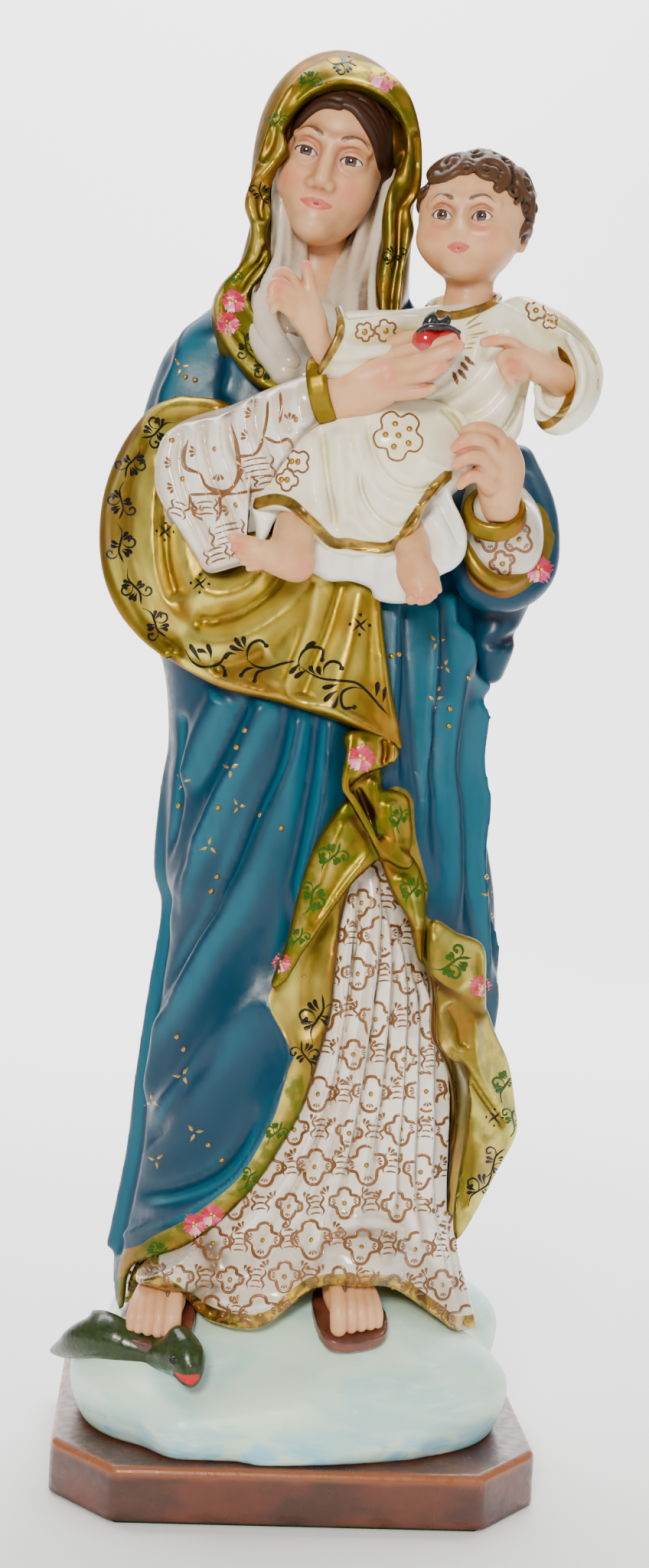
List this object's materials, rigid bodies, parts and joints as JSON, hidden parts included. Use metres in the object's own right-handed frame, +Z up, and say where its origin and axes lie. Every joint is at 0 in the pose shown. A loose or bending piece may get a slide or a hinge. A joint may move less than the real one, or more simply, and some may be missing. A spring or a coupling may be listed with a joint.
{
  "type": "madonna statue",
  "caption": "Painted plaster devotional statue of a standing mother in a hooded mantle holding a child, on a cloud over a chamfered plinth.",
  "frame": {"origin": "centre of the flat underside of the base felt, where the statue rests", "axes": "+Z up, -Y the way the figure faces, +X towards the figure's left hand"},
  "size_m": [0.2039, 0.1775, 0.5948],
  "materials": {
    "felt": "matte",
    "plinth_paint": "satin",
    "cloud_paint": "satin",
    "snake_paint": "satin",
    "steel": "satin",
    "pearl_gown": "gloss",
    "blue_mantle": "satin",
    "gold_lining": "gloss",
    "white_veil": "gloss",
    "skin": "satin",
    "hair": "satin",
    "glass_eye": "polished",
    "wood_dowel": "matte",
    "sandal_paint": "satin",
    "cream_tunic": "satin",
    "white_cloth": "satin",
    "red_enamel": "gloss",
    "dark_flame": "gloss"
  },
  "bodies": {
    "root": {"base_felt": "felt", "plinth": "plinth_paint", "cloud_mound": "cloud_paint", "snake": "snake_paint", "support_rod": "steel", "rod_washer": "steel", "rod_nut": "steel", "gown_skirt": "pearl_gown", "gown_bodice": "pearl_gown", "mantle": "blue_mantle", "mantle_front_drape": "gold_lining", "mantle_right_arm_drape": "gold_lining", "mantle_left_arm_drape": "blue_mantle", "mantle_edge_cascade": "gold_lining", "mantle_back_corner": "gold_lining", "hood": "gold_lining", "veil": "white_veil", "madonna_head": "skin", "madonna_hair": "hair", "madonna_glass_eyes": "glass_eye", "neck_dowel": "wood_dowel", "right_sleeve": "pearl_gown", "right_cuff": "gold_lining", "right_hand": "skin", "right_wrist_dowel": "wood_dowel", "left_sleeve": "pearl_gown", "left_cuff": "gold_lining", "left_hand": "skin", "left_wrist_dowel": "wood_dowel", "right_foot": "skin", "left_foot": "skin", "right_sandal": "sandal_paint", "left_sandal": "sandal_paint", "child_torso": "cream_tunic", "child_skirt": "cream_tunic", "child_cloth": "white_cloth", "child_right_sleeve": "cream_tunic", "child_left_sleeve": "cream_tunic", "child_right_hand": "skin", "child_left_hand": "skin", "child_right_leg": "skin", "child_left_leg": "skin", "child_head": "skin", "child_curls": "hair", "child_glass_eyes": "glass_eye", "child_neck_dowel": "wood_dowel", "child_dowel": "steel", "heart": "red_enamel", "heart_flame": "dark_flame", "heart_peg": "steel"}
  },
  "joints": []
}
